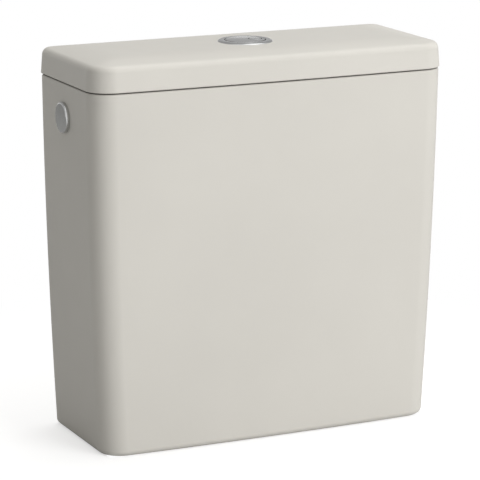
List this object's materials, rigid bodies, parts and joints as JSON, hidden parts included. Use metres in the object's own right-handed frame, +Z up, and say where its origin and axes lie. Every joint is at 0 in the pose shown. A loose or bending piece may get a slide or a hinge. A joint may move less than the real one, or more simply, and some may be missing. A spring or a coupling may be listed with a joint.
{
  "type": "toilet cistern",
  "caption": "Close-coupled ceramic toilet cistern: bowed leaning tank, lift-off crowned lid, round dual-flush push button, side inlet plug, and a flush valve and float fill valve inside.",
  "frame": {"origin": "on the foot's plane, under the middle of the overall width and depth", "axes": "+Z up, +X to the right seen from the front, the front faces -Y and the flat back faces +Y"},
  "size_m": [0.3848, 0.1498, 0.3942],
  "materials": {
    "glaze": "satin greige glaze",
    "chrome": "polished chrome plate",
    "white_plastic": "moulded white",
    "grey_plastic": "moulded grey",
    "blue_plastic": "moulded blue",
    "black_rubber": "matt moulded rubber",
    "zinc_steel": "zinc plated"
  },
  "bodies": {
    "cistern": {"tank": "glaze", "side_plug_cap": "chrome", "side_plug_washer": "black_rubber", "side_plug_nut": "white_plastic", "flush_valve_base": "white_plastic", "flush_valve_gasket": "black_rubber", "flush_valve_backnut": "white_plastic", "flush_valve_tower": "grey_plastic", "lever_pins": "zinc_steel", "fill_valve_body": "white_plastic", "fill_valve_washer": "black_rubber", "fill_valve_backnut": "white_plastic", "fill_valve_head": "grey_plastic", "fill_valve_cap": "blue_plastic", "float_arm_pin": "zinc_steel", "coupling_bolts": "zinc_steel", "bolt_seals": "black_rubber", "bolt_washers": "zinc_steel", "bolt_nuts": "zinc_steel"},
    "lid": {"lid": "glaze", "button_bezel": "chrome", "button_housing": "white_plastic", "button_nut": "white_plastic", "button_gasket": "black_rubber", "full_button_spring": "zinc_steel", "half_button_spring": "zinc_steel"},
    "full_button": {"full_flush_button": "chrome", "full_push_rod": "blue_plastic"},
    "half_button": {"half_flush_button": "chrome", "half_push_rod": "blue_plastic"},
    "full_lever": {"full_flush_lever": "blue_plastic"},
    "half_lever": {"half_flush_lever": "white_plastic"},
    "valve": {"overflow_tube": "white_plastic", "valve_seal": "black_rubber", "seal_retainer": "blue_plastic", "valve_float": "blue_plastic"},
    "float": {"float_cup": "grey_plastic", "float_link": "white_plastic"},
    "float_arm": {"float_arm": "white_plastic"}
  },
  "joints": [
    {"name": "lid_lift", "type": "slide", "parent": "cistern", "child": "lid", "axis": [0, 0, 1], "range_m": [0, 0.15]},
    {"name": "full_press", "type": "slide", "parent": "lid", "child": "full_button", "axis": [0, 0, -1], "range_m": [0, 0.006], "stiffness_N_per_m": 300, "springref_m": -0.006, "deforming": ["full_button_spring"]},
    {"name": "half_press", "type": "slide", "parent": "lid", "child": "half_button", "axis": [0, 0, -1], "range_m": [0, 0.006], "stiffness_N_per_m": 300, "springref_m": -0.006, "deforming": ["half_button_spring"]},
    {"name": "full_lever_turn", "type": "hinge", "parent": "cistern", "child": "full_lever", "pos_m": [-0.017, 0.009, 0.296], "axis": [1, 0, 0], "range_deg": [0, 33.1]},
    {"name": "half_lever_turn", "type": "hinge", "parent": "cistern", "child": "half_lever", "pos_m": [0.017, 0.009, 0.296], "axis": [1, 0, 0], "range_deg": [0, 33.1]},
    {"name": "valve_lift", "type": "slide", "parent": "cistern", "child": "valve", "axis": [0, 0, 1], "range_m": [0, 0.007]},
    {"name": "float_rise", "type": "slide", "parent": "cistern", "child": "float", "axis": [0, 0, 1], "range_m": [0, 0.012]},
    {"name": "float_arm_turn", "type": "hinge", "parent": "cistern", "child": "float_arm", "pos_m": [0.115, 0.017, 0.318], "axis": [-1, 0, 0], "range_deg": [0, 22.1]}
  ],
  "couplings": [
    {"joint": "full_lever_turn", "follows": "full_press", "rad_per_m": 96.15},
    {"joint": "half_lever_turn", "follows": "half_press", "rad_per_m": 96.15},
    {"joint": "valve_lift", "follows": "full_press", "ratio": 1.1666},
    {"joint": "float_arm_turn", "follows": "float_rise", "rad_per_m": 32.03}
  ]
}
